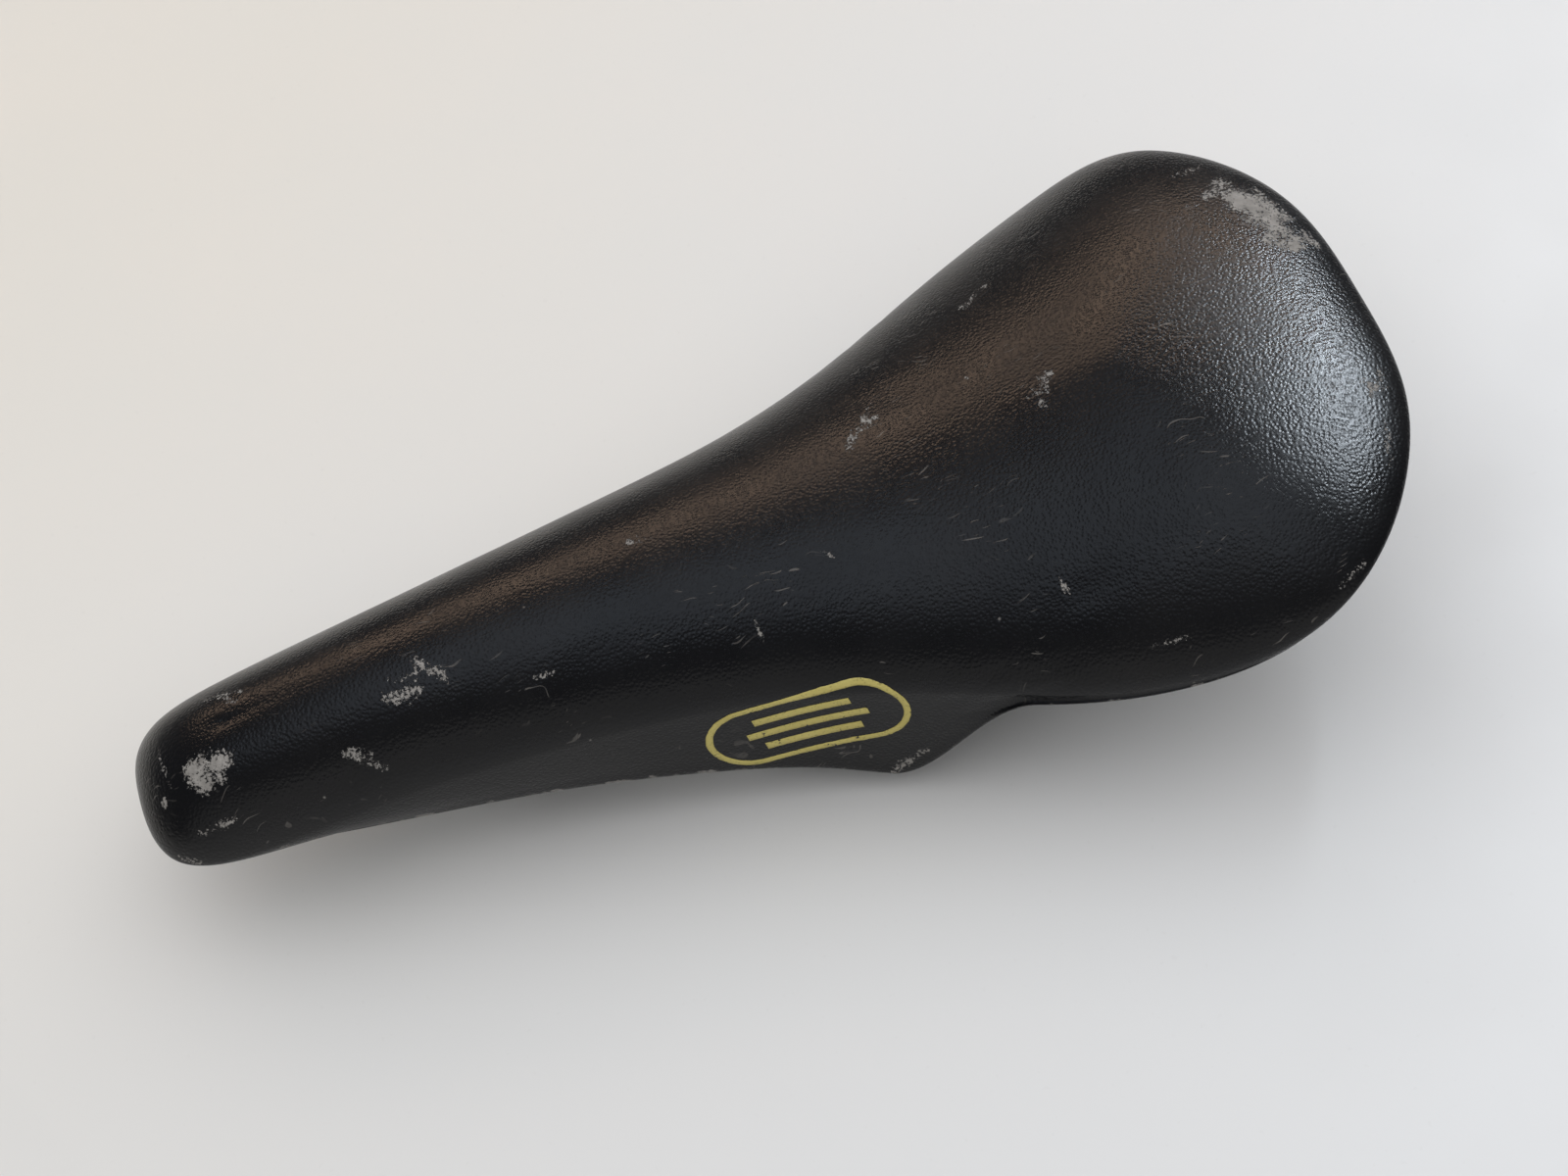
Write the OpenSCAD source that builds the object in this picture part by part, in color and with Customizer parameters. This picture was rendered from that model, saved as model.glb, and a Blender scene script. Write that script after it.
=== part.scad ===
// Racing bicycle saddle with a leather cover on a moulded shell and twin steel rails.
// +Z is up, the nose points to -Y, and the rails rest on z = 0.

/* [Overall] */
// Length from nose to tail
saddle_l = 275; // [229:1:330]
// Width over the tail
saddle_w = 137; // [114:1:165]
// Width over the flanks, just ahead of the lobes
waist_w = 71.5; // [62:0.5:86]
// Width of the nose
nose_w = 46; // [42:1:56]

/* [Heights above the bottom of the rails] */
// Top of the nose
nose_h = 47; // [44:0.5:57]
// Top of the middle
middle_h = 53.5; // [50:0.5:63]
// Top of the tail
tail_h = 64; // [61:0.5:76]
// Extra rise at the very end of the tail
tail_kick = 3.2; // [0:0.1:6]

/* [Skirt] */
// Depth of the skirt at the lobe corner
lobe_drop = 29.3; // [27:0.1:31]
// Depth of the skirt under the tail
tail_drop = 2.8; // [2.4:0.1:6]
// Extra depth of the lip at the very end of the tail
tail_lip = 6; // [0:0.5:8]
// Skirt depth lost for each millimetre towards the nose
nose_taper = 0.16; // [0.08:0.01:0.16]
// Depth of the small hook in front of the lobe corner
lobe_hook = 1.6; // [0:0.1:3]
// Where the lobe corner lies along the saddle
lobe_y = 14.6; // [5:0.1:25]
// Length over which the hem sweeps up behind the corner
sweep_l = 29.5; // [20:0.5:45]
// Width of the leather turned in under the shell
turn_in = 8; // [5:0.5:12]

/* [Layers] */
// Thickness of the leather
leather_t = 1.4; // [1:0.1:2]
// Thickness of the foam
foam_t = 3; // [2:0.1:4]
// Thickness of the foam where it feathers out at the hem
foam_edge_t = 0.6; // [0.4:0.1:1]
// Thickness of the shell
shell_t = 3.5; // [2.5:0.1:4]
// Thickness of the shell at the hem
shell_edge_t = 2.4; // [1.8:0.1:2.8]
// Gap left for the glue between two layers
glue = 0.2; // [0.15:0.01:0.25]

/* [Rails] */
// Diameter of the rail wire
rail_d = 7; // [6:0.1:8.4]
// Distance between the rails, centre to centre
rail_gap = 43; // [36:1:46]
// Distance between the rails in the nose clamp
nose_gap = 12; // [11.6:0.1:12.6]
// Distance between the rails in the tail clamps
tail_gap = 54; // [46:1:60]
// Where the rails' straight stretch begins
clamp_front = -12; // [-22:1:-6]
// Where the rails' straight stretch ends, from the end of the tail
clamp_rear = 85.5; // [80:0.5:92]

/* [Clamps and rivets] */
// Depth of the nose clamp's seat below the top of the nose
nose_seat_depth = 14.5; // [13.5:0.5:16.5]
// Depth of the tail bridge's seat below the top of the tail
tail_seat_depth = 19; // [17:0.5:23]
// Thickness of the pressed steel
plate_t = 2; // [1.5:0.1:2.5]
// Diameter of the rivet shanks
rivet_d = 4; // [3:0.1:4.4]
// Diameter of the rivet heads
head_d = 7; // [6:0.1:8]
// Thickness of the washers
washer_t = 1; // [0.8:0.1:1.2]
// Clearance round a shank, on the radius
shank_gap = 0.1; // [0.05:0.01:0.2]
// Gap between pieces that only touch
touch = 0.05; // [0.02:0.01:0.1]

/* [Foil mark] */
// Length of the foil mark on each flank
mark_l = 44; // [30:1:50]
// Height of the foil mark
mark_h = 19.5; // [12:0.5:20]
// Width of the foil lines
mark_line = 1.5; // [1:0.1:2]

/* [Hidden] */
$fn = 48;

tip_y = saddle_l / 2;
nose_r = 24.5;
tail_r = 53.5;
nose_x = nose_w / 2;
waist_x = waist_w / 2;
// The curve stays a little inside its rows, so the tail's row stands out past the width.
tail_x = saddle_w / 2 + 1;
function blend(a, b, share) = a + (b - a) * share;

// Lines of the saddle, from the nose tip to the tail end. Each row holds the spine's y, the rim's x
// and y, the heights of spine and rim, and how far the skirt tucks in below the rim.
LINES = [
    [-tip_y + nose_r, 0, -tip_y, nose_h - 1.8, nose_h - 13, 4],
    [-tip_y + nose_r, nose_x * 0.81, -tip_y, nose_h - 1.5, nose_h - 22, 5.5],
    [-0.385 * saddle_l, nose_x - 0.8, -tip_y + nose_r, nose_h, nose_h - 19.5, 5.5],
    [-0.313 * saddle_l, nose_x, -0.313 * saddle_l, blend(nose_h, middle_h, 0.5), nose_h - 15, 1.5],
    [-0.2 * saddle_l, blend(nose_x, waist_x, 0.25), -0.2 * saddle_l, middle_h - 1, middle_h - 19, 1.5],
    [-0.091 * saddle_l, blend(nose_x, waist_x, 0.58), -0.091 * saddle_l, middle_h, middle_h - 17.5, 0],
    [0.018 * saddle_l, waist_x, 0.018 * saddle_l, middle_h + 0.2, middle_h - 18, -1],
    [0.12 * saddle_l, blend(waist_x, tail_x, 0.355), 0.12 * saddle_l, middle_h + 1, middle_h - 19.5, -1],
    [0.2 * saddle_l, blend(waist_x, tail_x, 0.74), 0.211 * saddle_l, blend(middle_h, tail_h, 0.42),
     blend(middle_h, tail_h, 0.42) - 23, -0.5],
    [0.273 * saddle_l, tail_x, 0.325 * saddle_l, tail_h - 1.5, tail_h - 23.5, 0],
    [tip_y - tail_r - 2, tail_x - 1.5, tip_y - tail_r + 29, tail_h, tail_h - 11.5, 2],
    [tip_y - tail_r, tail_x / 2, tip_y, tail_h, tail_h - 9, 6],
    [tip_y - tail_r, 0, tip_y, tail_h, tail_h - 9, 6.5]
];
LAST = len(LINES) - 1;

// Uniform cubic B-spline through the rows, mirrored past both ends so that it closes squarely.
function flip(row) = [row[0], -row[1], row[2], row[3], row[4], row[5]];
function line_row(i) = i < 0 ? flip(LINES[-i]) : i > LAST ? flip(LINES[2 * LAST - i]) : LINES[i];
function lines_at(t) =
    let (i = min(floor(t), LAST - 1), f = t - i)
    (pow(1 - f, 3) * line_row(i - 1) + (3 * pow(f, 3) - 6 * f * f + 4) * line_row(i)
     + (-3 * pow(f, 3) + 3 * f * f + 3 * f + 1) * line_row(i + 1) + pow(f, 3) * line_row(i + 2)) / 6;
function slope_at(t) =
    let (i = min(floor(t), LAST - 1), f = t - i)
    (-pow(1 - f, 2) * line_row(i - 1) + (3 * f * f - 4 * f) * line_row(i)
     + (-3 * f * f + 2 * f + 1) * line_row(i + 1) + f * f * line_row(i + 2)) / 2;
function outward(t) = let (d = slope_at(t), l = norm([d[1], d[2]])) [d[2], -d[1]] / l;

// Depth of the skirt below the rim: a slow taper to the nose, a corner at the lobe, a sweep up behind
// it and a lip at the very end.
function ease(u) = let (w = min(max(u, 0), 1)) w * w * (3 - 2 * w);
function skirt_drop(y) =
    let (d = y - lobe_y, u = min(max(d / sweep_l, 0), 1))
    d < 0 ? lobe_drop + nose_taper * d - lobe_hook * (1 - exp(-pow(d / 12, 2)))
          : blend(lobe_drop, tail_drop, ease(u)) - 1.4 * (pow(u, 3) - 2 * u * u + u)
            + tail_lip * ease((y - tip_y + 24) / 18);
KICK_Y = 20;
function kick(y) = tail_kick * pow(min(max((y - KICK_Y) / (tip_y - KICK_Y), 0), 1), 2);

CROWN_P = 2;
CROWN_K = 0.625;
function crown_share(q) = pow(max(1 - pow(q, CROWN_P), 0), CROWN_K);
// Point on the surface that lies off below the outside: v runs 0 to 1 over the crown, 1 to 2 down
// the skirt, whose bottom edge is lift above the hem.
function skin(t, v, off, lift = 0) =
    let (r = lines_at(t), n = outward(t), rim = [r[1], r[2]] - n * off, q = min(v, 1), s = max(v - 1, 0),
         spine = [0, r[0]], p = spine + (rim - spine) * q - n * r[5] * s * s,
         z = r[4] + (r[3] - off - r[4]) * crown_share(q) - (skirt_drop(r[2]) - lift) * s)
    [p[0], p[1], z + kick(p[1])];
// Value of v at distance w up the inside from the bottom edge.
function inside_v(t, w, off, lift) =
    let (r = lines_at(t), depth = skirt_drop(r[2]) - lift, reach = norm([r[1], r[2] - r[0]]) - off)
    w < depth ? 2 - w / depth : 1 - (w - depth) / reach;

// Height of the crown over a place in plan, for the surface that lies off below the outside.
function side_of(t, x, y, off) =
    let (r = lines_at(t), b = [r[1], r[2]] - outward(t) * off)
    b[0] * (y - r[0]) - (b[1] - r[0]) * x;
function section_of(x, y, off, lo, hi, left = 26) =
    left == 0 ? (lo + hi) / 2
    : let (mid = (lo + hi) / 2)
      side_of(mid, x, y, off) > 0 ? section_of(x, y, off, mid, hi, left - 1)
                                  : section_of(x, y, off, lo, mid, left - 1);
function crown_height(x, y, off) =
    let (t = section_of(x, y, off, 0.2, LAST - 0.2), r = lines_at(t), b = [r[1], r[2]] - outward(t) * off,
         q = norm([x, y - r[0]]) / norm([b[0], b[1] - r[0]]))
    r[4] + (r[3] - off - r[4]) * crown_share(q) + kick(y);

// Closed solids are lofted over rings. A ring runs along one side and back along the other.
STEPS = 36;
AROUND = 2 * STEPS;
function ring(v, off, lift = 0) =
    [for (j = [0:AROUND - 1]) let (m = j <= STEPS ? j : AROUND - j, p = skin(m * LAST / STEPS, v, off, lift))
        j <= STEPS ? p : [-p[0], p[1], p[2]]];
function spine_line(off) = [for (m = [0:STEPS]) skin(m * LAST / STEPS, 0, off)];
// Rings of the crown and the skirt, from the spine outwards.
CROWN = [for (k = [1:7]) sin(90 * k / 7)];
SKIRT = [1.33, 1.67];

// Loft from a spine line over rings to another spine line.
module loft(top, rings, bottom) {
    n = len(rings);
    points = concat(top, [for (r = rings) each r], bottom);
    first = STEPS + 1;
    function at(k, j) = first + k * AROUND + j % AROUND;
    function on_spine(j) = j <= STEPS ? j : AROUND - j;
    end = first + n * AROUND;
    faces = concat(
        [for (j = [0:AROUND - 1]) [on_spine(j), on_spine((j + 1) % AROUND), at(0, j + 1)]],
        [for (j = [0:AROUND - 1]) [on_spine(j), at(0, j + 1), at(0, j)]],
        [for (k = [0:n - 2], j = [0:AROUND - 1]) [at(k, j), at(k, j + 1), at(k + 1, j + 1)]],
        [for (k = [0:n - 2], j = [0:AROUND - 1]) [at(k, j), at(k + 1, j + 1), at(k + 1, j)]],
        [for (j = [0:AROUND - 1]) [at(n - 1, j), at(n - 1, j + 1), end + on_spine(j)]],
        [for (j = [0:AROUND - 1]) [at(n - 1, j + 1), end + on_spine((j + 1) % AROUND), end + on_spine(j)]]
    );
    // A face that touches the same spine point twice has no area and is left out.
    polyhedron(points, [for (f = faces) if (f[0] != f[1] && f[1] != f[2] && f[0] != f[2]) f]);
}

// Depths of the layers below the outside; s runs 0 to 1 down the skirt.
function down(v) = max(v - 1, 0);
FOAM_TOP = leather_t + glue;
function foam_bottom(v) = FOAM_TOP + blend(foam_t, foam_edge_t, down(v));
function shell_top(v) = foam_bottom(v) + glue;
function shell_bottom(v) = shell_top(v) + blend(shell_t, shell_edge_t, down(v));
SHELL_TOP = shell_top(1);
// The layers inside the leather end this far above the hem.
LIFT = leather_t + glue;
HEM_R = 0.6;
// The turned-in leather clears the chords of the shell's curved inside.
facet_gap = 0.4;
// Ring k of the turned-in leather, counted up the inside, and under below the shell. The ring nearest
// to the corner where the skirt meets the crown is moved onto it.
TURNED = 4;
function turned_ring(k, under) =
    [for (j = [0:AROUND - 1])
        let (m = j <= STEPS ? j : AROUND - j, t = m * LAST / STEPS, step = turn_in / TURNED,
             corner = skirt_drop(lines_at(t)[2]) - leather_t,
             w = k > 0 && abs(k * step - corner) < step / 2 ? corner : k * step,
             v = inside_v(t, w, shell_bottom(1), leather_t),
             p = skin(t, v, shell_bottom(v) + glue + facet_gap * min(w / 3, 1) + under, leather_t))
        j <= STEPS ? p : [-p[0], p[1], p[2]]];

module leather_cover() {
    edge = shell_bottom(2) + glue;
    outer = concat([for (q = CROWN) ring(q, 0)], [for (v = SKIRT) ring(v, 0)],
                   [ring(2, 0, HEM_R), ring(2, HEM_R)]);
    turned = concat([ring(2, edge + leather_t - HEM_R)],
                    [for (k = [0:TURNED]) turned_ring(k, leather_t)],
                    [for (k = [TURNED:-1:0]) turned_ring(k, 0)]);
    inner = concat([ring(2, leather_t, leather_t)],
                   [for (k = [1:-1:0]) ring(SKIRT[k], leather_t, leather_t)],
                   [for (k = [6:-1:0]) ring(CROWN[k], leather_t)]);
    color([0.05, 0.05, 0.055])
    loft(spine_line(0), concat(outer, turned, inner), spine_line(leather_t));
}

module foam_pad() {
    over = concat([for (q = CROWN) ring(q, FOAM_TOP)], [for (v = SKIRT) ring(v, FOAM_TOP, LIFT)],
                  [ring(2, FOAM_TOP, LIFT)]);
    under = concat([ring(2, foam_bottom(2), LIFT)],
                   [for (k = [1:-1:0]) ring(SKIRT[k], foam_bottom(SKIRT[k]), LIFT)],
                   [for (k = [6:-1:0]) ring(CROWN[k], foam_bottom(1))]);
    color([0.75, 0.65, 0.4])
    loft(spine_line(FOAM_TOP), concat(over, under), spine_line(foam_bottom(1)));
}

module shell_skin() {
    over = concat([for (q = CROWN) ring(q, SHELL_TOP)], [for (v = SKIRT) ring(v, shell_top(v), LIFT)],
                  [ring(2, shell_top(2), LIFT)]);
    under = concat([ring(2, shell_bottom(2), LIFT)],
                   [for (k = [1:-1:0]) ring(SKIRT[k], shell_bottom(SKIRT[k]), LIFT)],
                   [for (k = [6:-1:0]) ring(CROWN[k], shell_bottom(1))]);
    loft(spine_line(SHELL_TOP), concat(over, under), spine_line(shell_bottom(1)));
}

// Rivets stand on columns under the shell, and their tops sit in recesses in its upper face.
rail_r = rail_d / 2;
nose_seat = nose_h - nose_seat_depth;
tail_seat = tail_h - tail_seat_depth;
nose_rail_z = nose_seat - plate_t - rail_r;
tail_rail_z = tail_seat - plate_t - touch - rail_r;
CLAMP_Y = [24.5 - tip_y, 42.5 - tip_y];
NOSE_RIVETS = [for (s = [-1, 1]) [0, (CLAMP_Y[0] + CLAMP_Y[1]) / 2 + s * 4.5]];
strap_y = [tip_y - 47, tip_y - 32];
rivet_side = rail_r + plate_t + 3.75;
rivet_y = (strap_y[0] + strap_y[1]) / 2;
function tail_places(side) = [for (s = [-1, 1]) [side * (tail_gap / 2 + s * rivet_side), rivet_y]];
TAIL_RIVETS = concat(tail_places(1), tail_places(-1));
COLUMN_D = 11;
RECESS_D = 8.4;
washer_d = 8;
burr_d = 6;
burr_h = 1.2;
head_h = 1.8;
nose_recess = 3.2;
tail_recess = 3.9;
function floor_z(p, depth) = crown_height(abs(p[0]), p[1], SHELL_TOP) - depth;

module columns(places, seat, depth) {
    for (p = places)
        translate([p[0], p[1], seat])
            cylinder(d = COLUMN_D, h = floor_z(p, depth) + depth - 2 - seat);
}

module rivet_holes(places, seat, depth) {
    for (p = places) {
        translate([p[0], p[1], seat - 5])
            cylinder(d = rivet_d + 2 * shank_gap, h = 30);
        translate([p[0], p[1], floor_z(p, depth)])
            cylinder(d = RECESS_D, h = 10);
    }
}

clamp_half_w = nose_gap / 2 + rail_r + 0.5;
pocket_gap = 0.2;
module shell() {
    color([0.12, 0.12, 0.12])
    difference() {
        union() {
            shell_skin();
            columns(NOSE_RIVETS, nose_seat + touch, nose_recess);
            columns(TAIL_RIVETS, tail_seat + touch, tail_recess);
        }
        // The nose clamp sits in a pocket where the shell narrows.
        translate([-clamp_half_w - pocket_gap, CLAMP_Y[0] - pocket_gap, nose_seat - 10])
            cube([2 * (clamp_half_w + pocket_gap), CLAMP_Y[1] - CLAMP_Y[0] + 2 * pocket_gap, 10 + touch]);
        rivet_holes(NOSE_RIVETS, nose_seat, nose_recess);
        rivet_holes(TAIL_RIVETS, tail_seat, tail_recess);
    }
}

// A wire follows straight runs joined by true arcs. The arcs are swell fatter on the radius, and the
// runs reach lap into them, so that run and arc always join over a real overlap.
swell = 0.02;
lap = 0.4;
function unit(v) = v / norm(v);
function turn(a, b, c) = acos(unit(b - a) * unit(c - b));
module frame_of(origin, x, y, z) {
    multmatrix([[x[0], y[0], z[0], origin[0]], [x[1], y[1], z[1], origin[1]], [x[2], y[2], z[2], origin[2]]])
        children();
}
module straight(a, b) {
    z = unit(b - a);
    x = unit(cross(z, abs(z[0]) < 0.9 ? [1, 0, 0] : [0, 1, 0]));
    frame_of(a, x, cross(z, x), z) cylinder(d = rail_d, h = norm(b - a));
}
module bend(a, b, c, r) {
    angle = turn(a, b, c);
    d = unit(b - a);
    start = b - d * r * tan(angle / 2);
    axis = unit(cross(d, unit(c - b)));
    inward = cross(axis, d);
    frame_of(start + inward * r, -inward, d, axis)
        rotate_extrude(angle = angle, $fn = 96) translate([r, 0]) circle(d = rail_d + 2 * swell);
}
module wire(points, radii) {
    n = len(points);
    function cut(i) =
        i == 0 || i == n - 1 ? 0
        : radii[i - 1] * tan(turn(points[i - 1], points[i], points[i + 1]) / 2) - lap;
    for (i = [0:n - 2]) {
        d = unit(points[i + 1] - points[i]);
        straight(points[i] + d * cut(i), points[i + 1] - d * cut(i + 1));
    }
    for (i = [1:n - 2])
        bend(points[i - 1], points[i], points[i + 1], radii[i - 1]);
}

low_z = rail_r + swell;
RAIL = [[nose_gap / 2, CLAMP_Y[0] + 0.5, nose_rail_z],
        [nose_gap / 2, CLAMP_Y[1] + 11, nose_rail_z],
        [nose_gap / 2, CLAMP_Y[1] + 41, low_z],
        [rail_gap / 2, clamp_front, low_z],
        [rail_gap / 2, tip_y - clamp_rear, low_z],
        [tail_gap / 2, strap_y[0] - 6.5, tail_rail_z],
        [tail_gap / 2, strap_y[1] + 2.5, tail_rail_z]];
BEND_R = [12, 14, 30, 20, 14];
module rail_left() { color("silver") wire(RAIL, BEND_R); }
module rail_right() { color("silver") wire([for (p = RAIL) [-p[0], p[1], p[2]]], BEND_R); }

// Two clamp halves with grooves hold the rails' front ends.
module nose_half(z0, z1) {
    difference() {
        translate([-clamp_half_w, CLAMP_Y[0], z0])
            cube([2 * clamp_half_w, CLAMP_Y[1] - CLAMP_Y[0], z1 - z0]);
        for (s = [-1, 1])
            translate([s * nose_gap / 2, CLAMP_Y[0] - 1, nose_rail_z]) rotate([-90, 0, 0])
                cylinder(r = rail_r + touch / 2, h = CLAMP_Y[1] - CLAMP_Y[0] + 2);
        for (p = NOSE_RIVETS)
            translate([p[0], p[1], z0 - 1]) cylinder(d = rivet_d + 2 * shank_gap, h = z1 - z0 + 2);
    }
}
split = 0.4;
module nose_bracket() { color("silver") nose_half(nose_rail_z + split, nose_seat); }
module nose_clamp() { color("silver") nose_half(nose_rail_z - rail_r - plate_t, nose_rail_z - split); }

// A pressed strip crosses the tail, with its edges turned down between the two clamps.
bridge_top = tail_seat;
bridge_y = [strap_y[0] - 2, strap_y[1] + 2];
bridge_w = bridge_y[1] - bridge_y[0];
bridge_end = tail_gap / 2 + rivet_side;
lip_x = tail_gap / 2 - rivet_side - head_d / 2 - 1;
lip_h = 4;
slot_w = 8;
module tail_bridge() {
    color("silver")
    difference() {
        translate([0, rivet_y, bridge_top - plate_t]) union() {
            linear_extrude(plate_t) {
                square([2 * bridge_end, bridge_w], center = true);
                for (s = [-1, 1]) translate([s * bridge_end, 0]) circle(d = bridge_w);
            }
            for (s = [-1, 1])
                translate([-lip_x, s * (bridge_w - plate_t) / 2 - plate_t / 2, -lip_h])
                    cube([2 * lip_x, plate_t, lip_h + plate_t / 2]);
        }
        translate([0, rivet_y, bridge_top - plate_t - 1]) linear_extrude(plate_t + 2) {
            square([lip_x, slot_w], center = true);
            for (s = [-1, 1]) translate([s * lip_x / 2, 0]) circle(d = slot_w);
        }
        for (p = TAIL_RIVETS)
            translate([p[0], p[1], bridge_top - plate_t - 1])
                cylinder(d = rivet_d + 2 * shank_gap, h = plate_t + 2);
    }
}

// A strap wraps round each rail's rear end and hangs from the bridge by two flanges.
strap_top = tail_seat - plate_t - touch;
module strap_section() {
    r = rail_r + touch / 2;
    high = strap_top - tail_rail_z;
    difference() {
        union() {
            circle(r = r + plate_t);
            translate([-r - plate_t, 0]) square([2 * (r + plate_t), high]);
            translate([-rivet_side - head_d / 2 - 0.5, high - plate_t])
                square([2 * rivet_side + head_d + 1, plate_t]);
        }
        circle(r = r);
        translate([-r, 0]) square([2 * r, high + 1]);
        translate([-2 * r, high]) square([4 * r, 2 * r]);
    }
}
module tail_clamp(side) {
    color("silver")
    difference() {
        translate([side * tail_gap / 2, strap_y[1], tail_rail_z]) rotate([90, 0, 0])
            linear_extrude(strap_y[1] - strap_y[0]) strap_section();
        for (p = tail_places(side))
            translate([p[0], p[1], strap_top - plate_t - 1]) cylinder(d = rivet_d + 2 * shank_gap, h = plate_t + 2);
    }
}
module tail_clamp_left() { tail_clamp(1); }
module tail_clamp_right() { tail_clamp(-1); }

// A rivet has a domed head below and a flattened burr above its washer.
module rivet(p, low, top) {
    dome_r = (pow(head_d / 2, 2) + pow(head_h, 2)) / (2 * head_h);
    translate([p[0], p[1], 0]) union() {
        translate([0, 0, low]) cylinder(d = rivet_d, h = top - low);
        translate([0, 0, top]) cylinder(d = burr_d, h = burr_h);
        intersection() {
            translate([0, 0, low - head_h + dome_r]) sphere(r = dome_r, $fn = 64);
            translate([0, 0, low - head_h - 1]) cylinder(d = head_d, h = head_h + 1);
        }
    }
}
module washer(p, z) {
    translate([p[0], p[1], z]) difference() {
        cylinder(d = washer_d, h = washer_t);
        translate([0, 0, -1]) cylinder(d = rivet_d + 2 * shank_gap, h = washer_t + 2);
    }
}
module rivets(places, low, depth) {
    color("gainsboro") for (p = places) rivet(p, low, floor_z(p, depth) + 2 * touch + washer_t);
}
module washers(places, depth) {
    color("gainsboro") for (p = places) washer(p, floor_z(p, depth) + touch);
}
nose_low = nose_rail_z - rail_r - plate_t - touch;
tail_low = strap_top - plate_t - touch;
module nose_rivets() { rivets(NOSE_RIVETS, nose_low, nose_recess); }
module nose_washers() { washers(NOSE_RIVETS, nose_recess); }
module tail_rivets_left() { rivets(tail_places(1), tail_low, tail_recess); }
module tail_rivets_right() { rivets(tail_places(-1), tail_low, tail_recess); }
module tail_washers_left() { washers(tail_places(1), tail_recess); }
module tail_washers_right() { washers(tail_places(-1), tail_recess); }

// The foil mark is a plain ring with round ends and three plain bars, pressed on the flank.
MARK_T = 5.83;
MARK_V = 1.33;
mark_along = 1 / norm(skin(MARK_T + 0.5, MARK_V, 0) - skin(MARK_T - 0.5, MARK_V, 0));
mark_z = skin(MARK_T, MARK_V, 0)[2];
mark_tilt = 10.5;
// Value of v at a height on the section t: down the skirt, or over the rim onto the crown.
function v_at(t, z) =
    let (r = lines_at(t), over = (z - r[4]) / (r[3] - r[4]))
    over < 0 ? 1 + (r[4] - z) / skirt_drop(r[2]) : sqrt(1 - pow(over, 1 / CROWN_K));
foil_t = 0.12;
foil_gap = 0.45;
function mark_point(a, b, off) =
    let (t = MARK_T + (a * cos(mark_tilt) - b * sin(mark_tilt)) * mark_along,
         v = v_at(t, mark_z + b * cos(mark_tilt) + a * sin(mark_tilt)))
    skin(t, v, off);
function ring_path(l, h, n) =
    [for (side = [1, -1]) each concat(
        [for (k = [0:n]) let (angle = 180 * k / n - 90 * side)
            [side * (l - h) / 2, 0] + h / 2 * [cos(angle), sin(angle)]],
        [for (k = [1:n / 2 - 1]) [side * (l - h) * (0.5 - 2 * k / n), side * h / 2]])];
module foil_strip(inner, outer, closed) {
    n = len(inner);
    points = [for (k = [0:n - 1]) each [mark_point(inner[k][0], inner[k][1], -foil_gap),
                                        mark_point(outer[k][0], outer[k][1], -foil_gap),
                                        mark_point(outer[k][0], outer[k][1], -foil_gap - foil_t),
                                        mark_point(inner[k][0], inner[k][1], -foil_gap - foil_t)]];
    last = closed ? n - 1 : n - 2;
    sides = [for (k = [0:last], e = [0:3]) let (a = 4 * k, b = 4 * ((k + 1) % n), f = (e + 1) % 4)
        each [[a + e, a + f, b + f], [a + e, b + f, b + e]]];
    ends = closed ? [] : [[0, 2, 1], [0, 3, 2], [4 * n - 4, 4 * n - 3, 4 * n - 2], [4 * n - 4, 4 * n - 2, 4 * n - 1]];
    polyhedron(points, concat(sides, ends));
}
module bar(l, b) {
    n = 8;
    half = 0.7 * mark_line;
    foil_strip([for (k = [0:n]) [-l / 2 + l * k / n, b + half]],
               [for (k = [0:n]) [-l / 2 + l * k / n, b - half]], false);
}
module foil_mark() {
    foil_strip(ring_path(mark_l - 2 * mark_line, mark_h - 2 * mark_line, 12), ring_path(mark_l, mark_h, 12), true);
    for (k = [-1:1]) bar(mark_l * (0.6 - 0.12 * abs(k)), k * mark_h * 0.22);
}
module foil_mark_left() { color("goldenrod") foil_mark(); }
module foil_mark_right() { color("goldenrod") mirror([1, 0, 0]) foil_mark(); }

leather_cover();
foam_pad();
shell();
rail_left();
rail_right();
nose_bracket();
nose_clamp();
nose_rivets();
nose_washers();
tail_bridge();
tail_clamp_left();
tail_clamp_right();
tail_rivets_left();
tail_rivets_right();
tail_washers_left();
tail_washers_right();
foil_mark_left();
foil_mark_right();
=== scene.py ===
"""Looks of a racing bicycle saddle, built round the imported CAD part.

Metres; +Z is up, the nose points to -Y and the rider's left is +X. The leather, the foam, the shell and
the foil marks are dense pieces made from the same formula as their CAD solids; the steel pieces are the
CAD nodes with finer materials. Lengths in the formula are millimetres, turned into metres by mesh_piece.
"""

import math

import bmesh
import bpy
import numpy as np
from mathutils import Matrix, Vector, noise


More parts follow.
